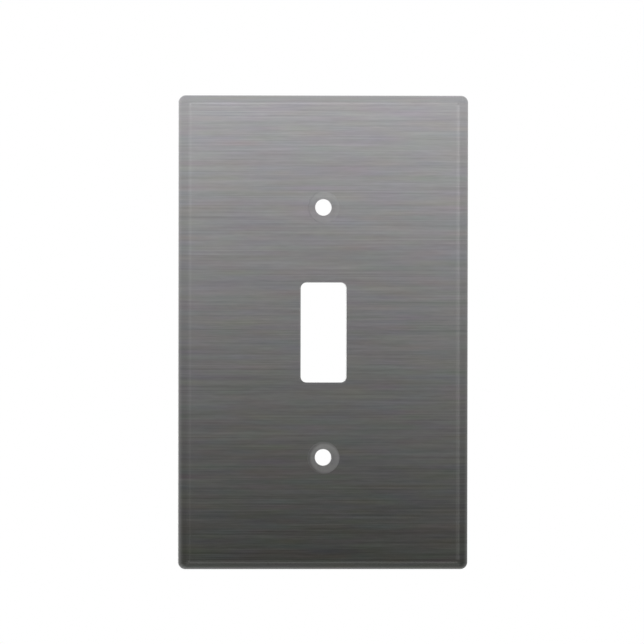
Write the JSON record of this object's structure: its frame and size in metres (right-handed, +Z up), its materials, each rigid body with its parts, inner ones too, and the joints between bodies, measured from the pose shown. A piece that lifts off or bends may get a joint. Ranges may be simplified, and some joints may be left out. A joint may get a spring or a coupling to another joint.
{
  "type": "switch plate",
  "caption": "Bevelled rectangular wall plate with a slot for a toggle light switch and countersunk screw holes above and below it; the back is hollow and ribbed.",
  "frame": {"origin": "centre of the plate's outline on the wall plane", "axes": "+Z up along the plate's height, +X to the right seen from the room, +Y into the wall, so the front faces -Y"},
  "size_m": [0.0698, 0.0056, 0.1142],
  "materials": {
    "brushed_print": "satin white plastic, its front printed to look like brushed metal, light grey at the top and charcoal at the bottom; the back is unprinted"
  },
  "bodies": {
    "root": {"switch_plate": "brushed_print"}
  },
  "joints": []
}
